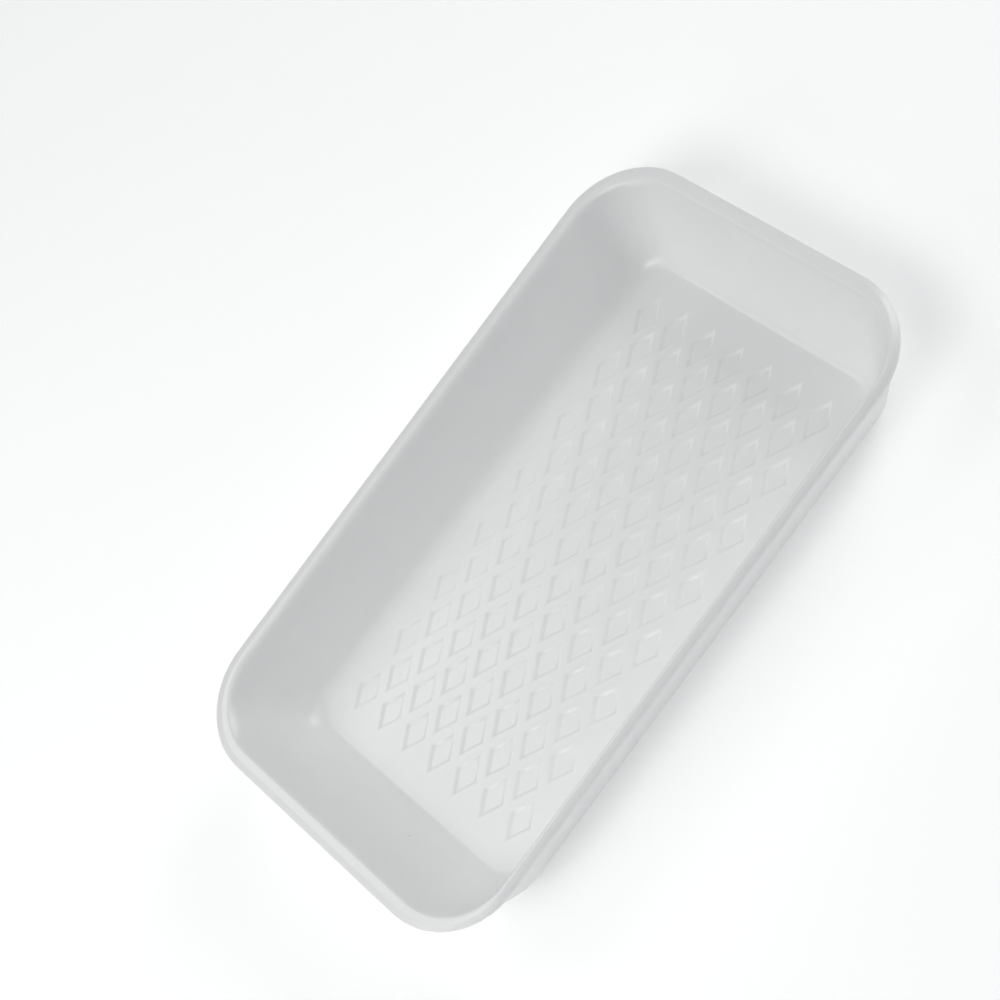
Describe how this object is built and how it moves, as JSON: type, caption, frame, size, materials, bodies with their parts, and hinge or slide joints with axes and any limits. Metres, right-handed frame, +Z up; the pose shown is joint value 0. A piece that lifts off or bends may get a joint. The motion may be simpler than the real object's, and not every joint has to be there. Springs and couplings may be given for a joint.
{
  "type": "foam grocery tray",
  "caption": "Deep rectangular foam tray for packed food, with rounded corners, a narrow rolled rim, steep long sides, sloping ends and a crowned floor pressed with a diamond relief.",
  "frame": {"origin": "under the middle of the tray, on the plane it stands on", "axes": "+X along the long sides, +Y across the tray, +Z up out of the open top"},
  "size_m": [0.2096, 0.1206, 0.0292],
  "materials": {
    "white_foam": "white polystyrene foam sheet, satin skin with fine closed cells"
  },
  "bodies": {
    "root": {"tray": "white_foam"}
  },
  "joints": []
}
